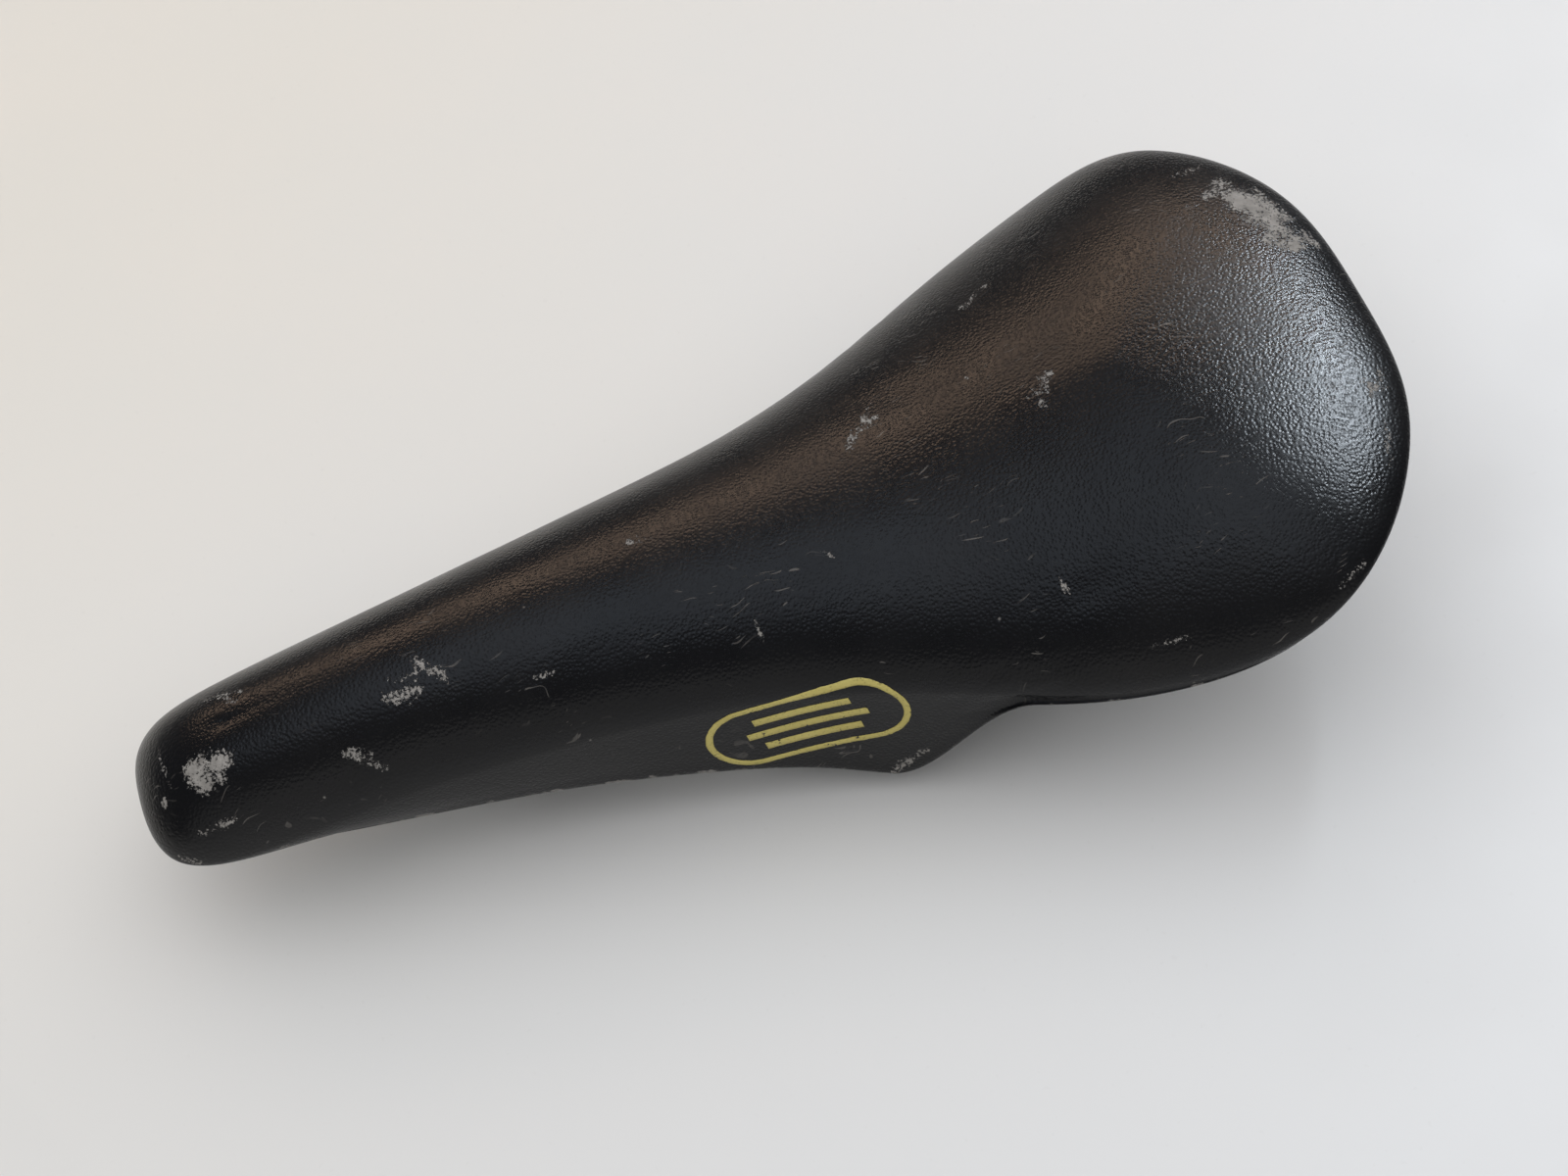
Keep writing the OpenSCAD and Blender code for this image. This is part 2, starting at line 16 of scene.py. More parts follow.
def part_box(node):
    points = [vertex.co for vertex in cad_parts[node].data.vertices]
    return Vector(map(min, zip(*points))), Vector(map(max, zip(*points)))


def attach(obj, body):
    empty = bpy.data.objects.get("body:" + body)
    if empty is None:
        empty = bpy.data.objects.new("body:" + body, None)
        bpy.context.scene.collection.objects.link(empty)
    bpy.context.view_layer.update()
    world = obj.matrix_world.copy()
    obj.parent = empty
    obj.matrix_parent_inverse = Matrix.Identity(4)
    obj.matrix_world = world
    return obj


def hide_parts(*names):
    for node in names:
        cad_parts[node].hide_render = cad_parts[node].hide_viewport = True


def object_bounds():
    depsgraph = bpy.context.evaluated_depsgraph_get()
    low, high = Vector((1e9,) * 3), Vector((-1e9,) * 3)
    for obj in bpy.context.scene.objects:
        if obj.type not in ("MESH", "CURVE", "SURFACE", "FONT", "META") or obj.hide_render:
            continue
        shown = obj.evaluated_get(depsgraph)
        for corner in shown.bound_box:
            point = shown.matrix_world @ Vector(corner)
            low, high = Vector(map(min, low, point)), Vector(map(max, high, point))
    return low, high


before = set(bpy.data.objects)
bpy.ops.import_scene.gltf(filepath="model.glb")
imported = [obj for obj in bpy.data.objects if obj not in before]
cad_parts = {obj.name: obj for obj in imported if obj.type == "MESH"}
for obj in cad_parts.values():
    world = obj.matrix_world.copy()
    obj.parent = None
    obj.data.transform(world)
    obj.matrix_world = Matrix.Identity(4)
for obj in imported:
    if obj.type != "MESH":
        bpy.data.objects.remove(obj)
cad_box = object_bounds()

MM = 0.001

# ---------------------------------------------------------------- surface (mm)
cover_low, cover_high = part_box("leather_cover")
LENGTH = (cover_high.y - cover_low.y) / MM
TIP_Y = LENGTH / 2
NOSE_R, TAIL_R = 24.5, 53.5
NOSE_X, WAIST_X = 23.0, 35.75
TAIL_X = 69.5
NOSE_H, MIDDLE_H, TAIL_H = 47.0, 53.5, 64.0
TAIL_KICK, KICK_Y = 3.2, 20.0
LOBE_Y, LOBE_DROP, LOBE_HOOK, NOSE_TAPER = 14.6, 29.3, 1.6, 0.16
SWEEP_L, TAIL_DROP, TAIL_LIP = 29.5, 2.8, 6.0
LEATHER_T, GLUE, HEM_R = 1.4, 0.2, 1.4
FOAM_T, FOAM_EDGE_T = 3.0, 0.6
SHELL_T, SHELL_EDGE_T = 3.5, 2.4
TURN_IN, FLAP_GAP, PLEAT = 8.0, 0.4, 0.7
HEM_STEPS = 4   # rings in each quarter of the rounded hem


def mix(a, b, share):
    return a + (b - a) * share


def ease(u):
    w = np.clip(u, 0, 1)
    return w * w * (3 - 2 * w)


REAR_H = mix(MIDDLE_H, TAIL_H, 0.42)
# Spine y, rim x, rim y, spine height, rim height and how far the skirt tucks in, from nose to tail.
LINES = np.array([
    [-TIP_Y + NOSE_R, 0, -TIP_Y, NOSE_H - 1.8, NOSE_H - 13, 4],
    [-TIP_Y + NOSE_R, NOSE_X * 0.81, -TIP_Y, NOSE_H - 1.5, NOSE_H - 22, 5.5],
    [-0.385 * LENGTH, NOSE_X - 0.8, -TIP_Y + NOSE_R, NOSE_H, NOSE_H - 19.5, 5.5],
    [-0.313 * LENGTH, NOSE_X, -0.313 * LENGTH, mix(NOSE_H, MIDDLE_H, 0.5), NOSE_H - 15, 1.5],
    [-0.2 * LENGTH, mix(NOSE_X, WAIST_X, 0.25), -0.2 * LENGTH, MIDDLE_H - 1, MIDDLE_H - 19, 1.5],
    [-0.091 * LENGTH, mix(NOSE_X, WAIST_X, 0.58), -0.091 * LENGTH, MIDDLE_H, MIDDLE_H - 17.5, 0],
    [0.018 * LENGTH, WAIST_X, 0.018 * LENGTH, MIDDLE_H + 0.2, MIDDLE_H - 18, -1],
    [0.12 * LENGTH, mix(WAIST_X, TAIL_X, 0.355), 0.12 * LENGTH, MIDDLE_H + 1, MIDDLE_H - 19.5, -1],
    [0.2 * LENGTH, mix(WAIST_X, TAIL_X, 0.74), 0.211 * LENGTH, REAR_H, REAR_H - 23, -0.5],
    [0.273 * LENGTH, TAIL_X, 0.325 * LENGTH, TAIL_H - 1.5, TAIL_H - 23.5, 0],
    [TIP_Y - TAIL_R - 2, TAIL_X - 1.5, TIP_Y - TAIL_R + 29, TAIL_H, TAIL_H - 11.5, 2],
    [TIP_Y - TAIL_R, TAIL_X / 2, TIP_Y, TAIL_H, TAIL_H - 9, 6],
    [TIP_Y - TAIL_R, 0, TIP_Y, TAIL_H, TAIL_H - 9, 6.5],
])
LAST = len(LINES) - 1
FLIP = np.array([1, -1, 1, 1, 1, 1])
PADDED = np.vstack([LINES[1] * FLIP, LINES, LINES[-2] * FLIP])


def spline_parts(t):
    i = np.minimum(np.floor(t), LAST - 1).astype(int)
    return (t - i)[:, None], [PADDED[i + k] for k in range(4)]


def lines_at(t):
    f, (a, b, c, d) = spline_parts(t)
    return ((1 - f) ** 3 * a + (3 * f**3 - 6 * f**2 + 4) * b
            + (-3 * f**3 + 3 * f**2 + 3 * f + 1) * c + f**3 * d) / 6


def slope_at(t):
    f, (a, b, c, d) = spline_parts(t)
    return (-((1 - f) ** 2) * a + (3 * f**2 - 4 * f) * b
            + (-3 * f**2 + 2 * f + 1) * c + f**2 * d) / 2


def skirt_drop(y):
    d = y - LOBE_Y
    u = np.clip(d / SWEEP_L, 0, 1)
    front = LOBE_DROP + NOSE_TAPER * d - LOBE_HOOK * (1 - np.exp(-((d / 12) ** 2)))
    rear = (mix(LOBE_DROP, TAIL_DROP, ease(u)) - 1.4 * (u**3 - 2 * u * u + u)
            + TAIL_LIP * ease((y - TIP_Y + 24) / 18))
    return np.where(d < 0, front, rear)


def skin(t, v, off=0.0, lift=0.0):
    """Points off below the outside: v is 0 to 1 over the crown and 1 to 2 down the skirt."""
    t = np.atleast_1d(np.asarray(t, float))
    v, off = (np.broadcast_to(np.asarray(k, float), t.shape) for k in (v, off))
    row = lines_at(t)
    d = slope_at(t)[:, 1:3]
    out = np.stack([d[:, 1], -d[:, 0]], 1) / np.hypot(d[:, 0], d[:, 1])[:, None]
    q, s = np.minimum(v, 1), np.maximum(v - 1, 0)
    spine = np.stack([0 * row[:, 0], row[:, 0]], 1)
    rim = row[:, 1:3] - out * off[:, None]
    p = spine + (rim - spine) * q[:, None] - out * (row[:, 5] * s * s)[:, None]
    z = row[:, 4] + (row[:, 3] - off - row[:, 4]) * np.maximum(1 - q * q, 0) ** 0.625
    z = z - (skirt_drop(row[:, 2]) - lift) * s
    z = z + TAIL_KICK * np.clip((p[:, 1] - KICK_Y) / (TIP_Y - KICK_Y), 0, 1) ** 2
    return np.stack([p[:, 0], p[:, 1], z], 1)


def normals(t, v):
    """Outward unit normals of the outside."""
    h = 1e-3
    along = skin(np.minimum(t + h, LAST), v) - skin(np.maximum(t - h, 0), v)
    down = skin(t, np.minimum(v + h, 2)) - skin(t, np.maximum(v - h, 0))
    n = np.cross(down, along)
    n /= np.maximum(np.linalg.norm(n, axis=1), 1e-9)[:, None]
    inward = ((skin(t, v, 2.0) - skin(t, v)) * n).sum(1)
    return n * np.where(inward > 0, -1, 1)[:, None]


def foam_bottom(v):
    return LEATHER_T + GLUE + mix(FOAM_T, FOAM_EDGE_T, np.maximum(v - 1, 0))


def shell_bottom(v):
    return foam_bottom(v) + GLUE + mix(SHELL_T, SHELL_EDGE_T, np.maximum(v - 1, 0))


# ---------------------------------------------------------------- wear and relief of the leather
# Rubbed places: t, v and side of both ends, width in mm and strength. Most of the ends are not hand-placed:
# a helper script worked them out from points picked in the photograph.
SCUFFS = [
    (10.67, 0.87, -1, 11.49, 0.87, -1, 3.6, 0.86), (10.85, 0.85, -1, 11.22, 0.86, -1, 5.0, 1.0),
    (10.66, 0.78, -1, 10.79, 0.87, -1, 2.4, 0.7), (11.28, 0.78, -1, 11.51, 0.84, -1, 3.0, 0.8),
    (10.90, 0.93, -1, 11.60, 0.94, -1, 1.8, 0.62), (10.28, 0.82, -1, 10.49, 0.92, -1, 1.6, 0.6),
    (6.74, 0.15, -1, 7.13, 0.39, -1, 1.3, 0.74), (6.84, 0.24, -1, 7.09, 0.28, -1, 1.6, 0.68),
    (8.44, 0.02, 1, 8.80, 0.06, -1, 1.5, 0.70), (8.55, 0.05, 1, 8.70, 0.02, -1, 1.2, 0.6),
    (11.16, 0.86, 1, 11.13, 0.92, 1, 1.7, 0.85), (11.05, 0.87, 1, 11.26, 0.92, 1, 1.3, 0.72),
    (10.87, 0.91, 1, 10.61, 0.95, 1, 1.2, 0.66), (9.70, 0.97, 1, 9.95, 0.98, 1, 1.0, 0.6),
    (0.80, 0.52, 1, 1.45, 0.42, 1, 3.4, 0.92), (1.03, 0.58, 1, 1.50, 0.57, 1, 2.6, 0.86),
    (1.33, 0.88, 1, 1.70, 0.85, 1, 1.4, 0.66), (0.19, 0.67, -1, 0.69, 0.68, 1, 0.9, 0.62),
    (0.63, 0.78, 1, 0.70, 0.79, 1, 1.1, 1.0), (1.36, 0.47, -1, 1.80, 0.28, -1, 1.1, 0.62),
    (1.55, 0.34, -1, 1.60, 0.16, -1, 1.2, 0.66), (3.16, 0.43, 1, 3.38, 0.45, 1, 2.4, 0.82),
    (3.40, 0.20, 1, 3.61, 0.45, 1, 1.7, 0.68), (3.20, 0.30, 1, 3.45, 0.34, 1, 1.2, 0.62),
    (2.74, 0.71, 1, 3.01, 0.87, 1, 1.5, 0.74), (2.80, 0.70, 1, 2.92, 0.78, 1, 1.8, 0.68),
    (5.06, 0.13, -1, 5.21, 0.09, -1, 1.3, 0.66), (8.31, 0.91, 1, 8.59, 0.91, 1, 0.8, 0.72),
    (7.93, 0.68, 1, 7.94, 0.71, 1, 1.0, 0.74), (5.70, 0.64, 1, 5.70, 0.76, 1, 0.7, 0.62),
    (6.30, 0.34, 1, 6.36, 0.40, 1, 0.8, 0.64), (4.16, 0.63, 1, 4.29, 0.64, 1, 0.9, 0.64),
    (7.97, 0.23, -1, 8.11, 0.21, -1, 0.8, 0.64), (6.31, 1.97, 1, 6.60, 1.79, 1, 1.6, 0.72),
    (1.05, 0.99, 1, 1.31, 1.03, 1, 1.5, 0.70), (2.02, 1.19, 1, 2.12, 1.19, 1, 1.0, 0.8),
    (2.66, 2.00, 1, 2.84, 1.89, 1, 1.2, 0.70), (4.30, 0.90, -1, 4.90, 0.92, -1, 1.2, 0.6),
    (9.20, 0.95, -1, 9.90, 0.97, -1, 1.6, 0.64), (6.35, 1.96, -1, 6.60, 1.80, -1, 1.5, 0.7),
    (8.10, 0.55, -1, 8.45, 0.62, -1, 1.2, 0.62), (2.20, 0.95, -1, 2.70, 1.00, -1, 1.4, 0.64),
]
# Broad dents and soft folds: t, v, side, length, width in mm, turn, depth in mm.
DENTS = [
    (7.3, 0.35, -1, 26, 10, -20, 0.28), (8.4, 0.22, -1, 22, 9, 10, -0.2), (8.1, 0.72, 1, 15, 6, 8, 0.32),
    (7.4, 0.85, 1, 12, 4.5, 25, -0.28), (6.4, 0.45, 1, 24, 8, 0, 0.16), (9.4, 0.35, 1, 26, 14, 30, 0.25),
    (4.6, 0.6, 1, 26, 7, 3, 0.15), (5.2, 0.8, -1, 24, 7, 0, 0.18), (10.3, 0.6, -1, 18, 10, 40, -0.2),
]
# Creases that fan out from the top of the lobe: t and v where each starts and ends, and its depth in mm.
CREASES = [
    (6.95, 1.32, 7.75, 0.98, 0.30), (6.85, 1.45, 7.6, 1.06, 0.26), (7.05, 1.18, 7.95, 0.90, 0.22),
    (6.75, 1.22, 7.35, 0.92, 0.20), (7.1, 1.5, 7.9, 1.2, 0.18), (6.6, 1.1, 7.1, 0.86, 0.14),
]
CREASE_W = 1.3
UNEVEN, UNEVEN_L = 0.10, 26   # depth and length of the slow waves over the whole top, in mm
THROUGH = 12   # how far a dent reaches through the solid, in mm, so that it stays on one side


def place(t, v, side):
    return skin(np.array([t]), np.array([v]))[0] * [side, 1, 1]


def frame_at(t, v, side):
    """A place on the surface with its directions along and across."""
    t, v = np.array([t]), np.array([v])
    p, n = skin(t, v)[0], normals(t, v)[0]
    p, n = p * [side, 1, 1], n * [side, 1, 1]
    along = np.array([0, 1, 0]) - n * n[1]
    along /= np.linalg.norm(along)
    return p, along, np.cross(n, along), n


def patch(points, spot, length, width, turn):
    """Squared distance from a place, in units of the half length and half width."""
    p, along, across, n = spot
    c, s = math.cos(math.radians(turn)), math.sin(math.radians(turn))
    d = points - p
    a, b = d @ along, d @ across
    return (((a * c + b * s) / length * 2) ** 2 + ((b * c - a * s) / width * 2) ** 2
            + ((d @ n) / THROUGH) ** 2)


def segment_gap(points, a, b):
    """Distance of points from the segment a to b, and the share of the way along it."""
    d = b - a
    share = np.clip((points - a) @ d / (d @ d), 0, 1)
    return np.linalg.norm(points - a - share[:, None] * d, axis=1), share


def relief(points):
    """How far the leather's outside sits below the plain surface, in mm, at points on it."""
    depth = np.array([noise.noise(Vector(p) / UNEVEN_L) for p in points]) * UNEVEN + UNEVEN
    for t, v, side, length, width, turn, deep in DENTS:
        depth += deep * np.exp(-patch(points, frame_at(t, v, side), length, width, turn))
    for t0, v0, t1, v1, deep in CREASES:
        for side in (1, -1):
            gap, share = segment_gap(points, place(t0, v0, side), place(t1, v1, side))
            depth += deep * np.sin(np.pi * np.clip(share, 0.02, 0.98)) * np.exp(-((gap / CREASE_W) ** 2))
    return np.maximum(depth, 0)


def scuffing(points):
    worn = np.zeros(len(points))
    for t0, v0, side0, t1, v1, side1, width, strength in SCUFFS:
        gap, share = segment_gap(points, place(t0, v0, side0), place(t1, v1, side1))
        narrow = width * (0.75 + 0.35 * np.sin(np.pi * share))
        worn = np.maximum(worn, strength * np.exp(-((gap / narrow) ** 2)))
    return worn


# ---------------------------------------------------------------- meshes
def mesh_piece(name, points, faces, material):
    """A mesh from points in mm."""
    mesh = bpy.data.meshes.new(name)
    mesh.from_pydata((np.asarray(points) * MM).tolist(), [], [list(f) for f in faces])
    mesh.validate()
    mesh.polygons.foreach_set("use_smooth", [True] * len(mesh.polygons))
    mesh.materials.append(material)
    piece = bpy.data.objects.new(name, mesh)
    bpy.context.collection.objects.link(piece)
    return piece


def paint(piece, name, values):
    layer = piece.data.attributes.new(name, "FLOAT", "POINT")
    layer.data.foreach_set("value", np.asarray(values, np.float32))


class Loft:
    """A closed solid lofted from one spine line over rings to another. A ring is t and v all round."""

    def __init__(self, steps):
        self.steps = steps
        self.around = 2 * steps
        j = np.arange(self.around)
        self.m = np.where(j <= steps, j, self.around - j)
        self.t = self.m * LAST / steps
        self.side = np.where(j <= steps, 1.0, -1.0)
        self.rings = []

    def ring(self, v, off, lift=0.0):
        p = skin(self.t, v, off, lift)
        p[:, 0] *= self.side
        p[np.isin(self.m, (0, self.steps)), 0] = 0
        self.rings.append(p)
        return p

    def spine(self, off):
        p = skin(np.arange(self.steps + 1) * LAST / self.steps, 0.0, off)
        p[:, 0] = 0
        return p

    def solid(self, top_off, bottom_off):
        top, bottom = self.spine(top_off), self.spine(bottom_off)
        points = np.vstack([top, *self.rings, bottom])
        first, n = self.steps + 1, len(self.rings)
        end = first + n * self.around
        faces = []

        def add(*corners):
            kept = [c for k, c in enumerate(corners) if c != corners[k - 1]]
            if len(kept) > 2:
                faces.append(kept)

        for j in range(self.around):
            k = (j + 1) % self.around
            a, b = int(self.m[j]), int(self.m[k])
            add(a, first + j, first + k, b)
            for r in range(n - 1):
                low = first + r * self.around
                add(low + j, low + self.around + j, low + self.around + k, low + k)
            low = end - self.around
            add(low + j, end + a, end + b, low + k)
        return points, faces


def cleaned(piece):
    """Merges points that coincide and turns all faces outwards."""
    bm = bmesh.new()
    bm.from_mesh(piece.data)
    bmesh.ops.remove_doubles(bm, verts=bm.verts, dist=2e-6)
    bmesh.ops.recalc_face_normals(bm, faces=bm.faces)
    bm.to_mesh(piece.data)
    bm.free()
    return piece


def quarter_sines(n):
    return [math.sin(math.pi / 2 * k / n) for k in range(1, n + 1)]


def turned_off(w, v):
    return shell_bottom(v) + GLUE + FLAP_GAP * min(w / 3, 1)


NICK_REACH = 2.2   # how far up from the hem the nicks go, in mm


def leather_cover(material):
    steps = 520
    loft = Loft(steps)
    crown_rows, skirt_rows, turned_rows = ((34, 24, 10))
    row = lines_at(loft.t)
    y_rim = row[:, 2]
    outer_v = [(q, 0.0) for q in quarter_sines(crown_rows)]
    outer_v += [(1 + k / skirt_rows, HEM_R * k / skirt_rows) for k in range(1, skirt_rows + 1)]
    hem_marks = []
    drop = np.maximum(skirt_drop(y_rim), 1)
    for v, lift in outer_v:
        p = loft.ring(v, 0.0, lift)
        hem_marks.append(np.exp(-(((2 - v) * drop / NICK_REACH) ** 2)) if v > 1 else np.zeros(len(p)))
    outer_count = len(loft.rings)
    edge = shell_bottom(2) + GLUE
    for k in range(1, HEM_STEPS + 1):
        angle = math.pi / 2 * k / HEM_STEPS
        loft.ring(2, HEM_R * (1 - math.cos(angle)), HEM_R * (1 - math.sin(angle)))
    for k in range(HEM_STEPS + 1):
        angle = math.pi / 2 * k / HEM_STEPS
        loft.ring(2, edge + LEATHER_T - HEM_R * (1 - math.sin(angle)), HEM_R * (1 - math.cos(angle)))
    hem_count = len(loft.rings) - outer_count
    # The turned-in part gathers in pleats round the nose and the tail.
    hem_line = skin(loft.t, 2.0)
    arc = np.cumsum(np.linalg.norm(np.diff(hem_line, axis=0, prepend=hem_line[:1]), axis=1))
    curved = np.clip((1.9 - loft.t) / 0.5, 0, 1) + np.clip((loft.t - 9.7) / 0.6, 0, 1)
    pleats = curved * (0.5 + 0.5 * np.sin(arc * 1.15 + 0.8 * np.sin(arc * 0.31)))
    depth = skirt_drop(y_rim) - LEATHER_T
    reach = np.linalg.norm(row[:, [1, 2]] - np.stack([0 * y_rim, row[:, 0]], 1), axis=1) - shell_bottom(1)
    for under, order in ((LEATHER_T, range(1, turned_rows + 1)), (0.0, range(turned_rows, -1, -1))):
        for k in order:
            w = TURN_IN * k / turned_rows
            v = np.where(w < depth, 2 - w / depth, 1 - (w - depth) / reach)
            off = turned_off(w, v) + under + (PLEAT * pleats * (k / turned_rows) ** 1.5 if under else 0)
            loft.ring(v, off, LEATHER_T)
    for v, lift in [(2, LEATHER_T), (1.5, LEATHER_T)]:
        loft.ring(v, LEATHER_T, lift)
    for q in reversed(quarter_sines(8)):
        loft.ring(q, LEATHER_T)
    points, faces = loft.solid(0.0, LEATHER_T)

    # Relief on the outside, fading out over the hem, and worn nicks along the hem's edge.
    top_n, around = steps + 1, loft.around
    outside = np.arange(top_n + (outer_count + HEM_STEPS) * around)
    t_all = np.concatenate([np.arange(top_n) * LAST / steps, np.tile(loft.t, outer_count)])
    v_all = np.concatenate([np.zeros(top_n), np.repeat([v for v, _ in outer_v], around)])
    side = np.concatenate([np.ones(top_n), np.tile(loft.side, outer_count)])
    n = normals(t_all, v_all)
    n[:, 0] *= side
    n[:top_n, 0] = 0
    count = len(t_all)
    deep = relief(points[:count])
    deep *= np.clip((2 - v_all) * 6, 0, 1)
    points[:count] -= n * deep[:, None]
    piece = mesh_piece("leather_skin", points, faces, material)
    hem = np.zeros(len(points))
    hem[top_n:top_n + outer_count * around] = np.concatenate(hem_marks)
    hem[top_n + outer_count * around:top_n + (outer_count + hem_count) * around] = 1
    worn = np.zeros(len(points))
    worn[outside] = scuffing(points[outside])
    cut = np.zeros(len(points))
    last_flap = top_n + (outer_count + hem_count + turned_rows - 1) * around
    cut[last_flap:last_flap + 2 * around] = 1
    paint(piece, "hem", hem)
    paint(piece, "worn", worn)
    paint(piece, "cut", cut)
    cleaned(piece)
    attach(piece, "root")
    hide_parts("leather_cover")


def foam_pad(material):
    loft = Loft(240)
    lift = LEATHER_T + GLUE
    for q in quarter_sines(14):
        loft.ring(q, lift)
    for k in range(1, 9):
        loft.ring(1 + k / 8, lift, lift)
    for k in range(8, 0, -1):
        loft.ring(1 + k / 8, foam_bottom(1 + k / 8), lift)
    for q in reversed(quarter_sines(14)):
        loft.ring(q, foam_bottom(1))
    piece = cleaned(mesh_piece("foam_layer", *loft.solid(lift, foam_bottom(1)), material))
    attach(piece, "root")
    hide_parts("foam_pad")


# Metres: radii of the column, rivet hole and head's recess, how far each sits from the rivet's ends, and
# the pocket round the nose bracket.
POST_R, HOLE_R, RECESS_R = 0.0055, 0.0021, 0.0042
SEAT_GAP, POST_TOP, RECESS_DEPTH, POCKET_GAP = 0.00005, 0.0015, 0.0023, 0.0002


def shell(material):
    """The moulded shell, with the columns, recesses and rivet holes that its CAD solid has."""
    loft = Loft(200)
    lift = LEATHER_T + GLUE
    top = foam_bottom(1) + GLUE
    for q in quarter_sines(14):
        loft.ring(q, top)
    for k in range(1, 9):
        loft.ring(1 + k / 8, foam_bottom(1 + k / 8) + GLUE, lift)
    for k in range(8, 0, -1):
        loft.ring(1 + k / 8, shell_bottom(1 + k / 8), lift)
    for q in reversed(quarter_sines(14)):
        loft.ring(q, shell_bottom(1))
    piece = cleaned(mesh_piece("moulded_shell", *loft.solid(top, shell_bottom(1)), material))
    bracket_low, bracket_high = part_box("nose_bracket")
    posts, holes = [], []
    nose_seat, tail_seat = bracket_high.z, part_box("tail_bridge")[1].z
    seats = {"nose_rivets": nose_seat, "tail_rivets_left": tail_seat, "tail_rivets_right": tail_seat}
    for node, seat in seats.items():
        for x, y, head_top in rivet_places(node):
            posts.append(drum(x, y, seat + SEAT_GAP, head_top - POST_TOP, POST_R))
            holes.append(drum(x, y, seat - 0.005, seat + 0.03, HOLE_R))
            holes.append(drum(x, y, head_top - RECESS_DEPTH, head_top + 0.008, RECESS_R))
    pocket_low = (bracket_low.x - POCKET_GAP, bracket_low.y - POCKET_GAP, bracket_high.z - 0.01)
    pocket_high = (bracket_high.x + POCKET_GAP, bracket_high.y + POCKET_GAP, bracket_high.z + SEAT_GAP)
    holes.append(block(pocket_low, pocket_high))
    boolean(piece, posts, "UNION")
    boolean(piece, holes, "DIFFERENCE")
    piece.data.polygons.foreach_set("use_smooth", [True] * len(piece.data.polygons))
    piece.data.set_sharp_from_angle(angle=math.radians(35))
    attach(piece, "root")
    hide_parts("shell")


def rivet_places(node):
    """Centre and top of each rivet of a node, from its vertices."""
    co = np.array([v.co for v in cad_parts[node].data.vertices])
    axis = int(np.argmax(co[:, :2].max(0) - co[:, :2].min(0)))
    middle = (co[:, axis].max() + co[:, axis].min()) / 2
    places = []
    for part in (co[co[:, axis] < middle], co[co[:, axis] >= middle]):
        centre = (part[:, :2].max(0) + part[:, :2].min(0)) / 2
        places.append((centre[0], centre[1], part[:, 2].max()))
    return places


def drum(x, y, low, high, radius):
    middle = (x, y, (low + high) / 2)
    bpy.ops.mesh.primitive_cylinder_add(vertices=48, radius=radius, depth=high - low, location=middle)
    return bpy.context.object


def block(low, high):
    low, high = Vector(low), Vector(high)
    bpy.ops.mesh.primitive_cube_add(size=1, location=(low + high) / 2)
    bpy.context.object.scale = high - low
    return bpy.context.object


def boolean(piece, tools, operation):
    """Applies each tool to the piece, then removes the tools."""
    for tool in tools:
        cut = piece.modifiers.new("cut", "BOOLEAN")
        cut.operation, cut.object, cut.solver = operation, tool, "MANIFOLD"
        bpy.context.view_layer.update()
        evaluated = piece.evaluated_get(bpy.context.evaluated_depsgraph_get())
        result = bpy.data.meshes.new_from_object(evaluated)
        piece.modifiers.clear()
        old, piece.data = piece.data, result
        bpy.data.meshes.remove(old)
    for tool in tools:
        bpy.data.objects.remove(tool)


# ---------------------------------------------------------------- foil marks
MARK_T, MARK_V, MARK_TILT = 5.83, 1.33, 10.5
MARK_L, MARK_H, MARK_LINE = 44.0, 19.5, 1.5
FOIL_LOW, FOIL_HIGH = 0.02, 0.07
BAR_W = 1.4 * MARK_LINE
# Bars inside the ring: height over the middle and length, as shares of the mark.
BARS = [(-0.22, 0.48), (0.0, 0.6), (0.22, 0.48)]

# How far t goes per mm along the skirt at the mark, and the height of its middle.
MARK_ALONG = 1 / np.linalg.norm(place(MARK_T + 0.5, MARK_V, 1) - place(MARK_T - 0.5, MARK_V, 1))
MARK_Z = place(MARK_T, MARK_V, 1)[2]


def v_at(t, z):
    """Value of v at a height on the section t: down the skirt, or over the rim onto the crown."""
    row = lines_at(t)
    over = (z - row[:, 4]) / (row[:, 3] - row[:, 4])
    on_skirt = 1 + (row[:, 4] - z) / skirt_drop(row[:, 2])
    return np.where(over < 0, on_skirt, np.sqrt(1 - np.clip(over, 0, 1) ** 1.6))


def mark_points(a, b, height):
    """Points over the leather's outside at a along and b up from the middle of the mark, in mm."""
    c, s = math.cos(math.radians(MARK_TILT)), math.sin(math.radians(MARK_TILT))
    t = MARK_T + (a * c - b * s) * MARK_ALONG
    v = v_at(t, MARK_Z + b * c + a * s)
    p, n = skin(t, v), normals(t, v)
    return p + n * (height - relief(p)[:, None])


def ring_line(inset, n):
    """A ring with round ends, as points all round, inset from the mark's outside."""
    length, height = MARK_L - 2 * inset, MARK_H - 2 * inset
    straight, bow = length - height, math.pi * height / 2
    walk = np.arange(n) / n * 2 * (straight + bow)
    points = []
    for w in walk:
        side = 1 if w < straight + bow else -1
        w = w % (straight + bow)
        if w < straight:
            p = (straight / 2 - w, height / 2)
        else:
            angle = math.pi / 2 + (w - straight) / height * 2
            p = (-straight / 2 + height / 2 * math.cos(angle), height / 2 * math.sin(angle))
        points.append((side * p[0], side * p[1]))
    return np.array(points)


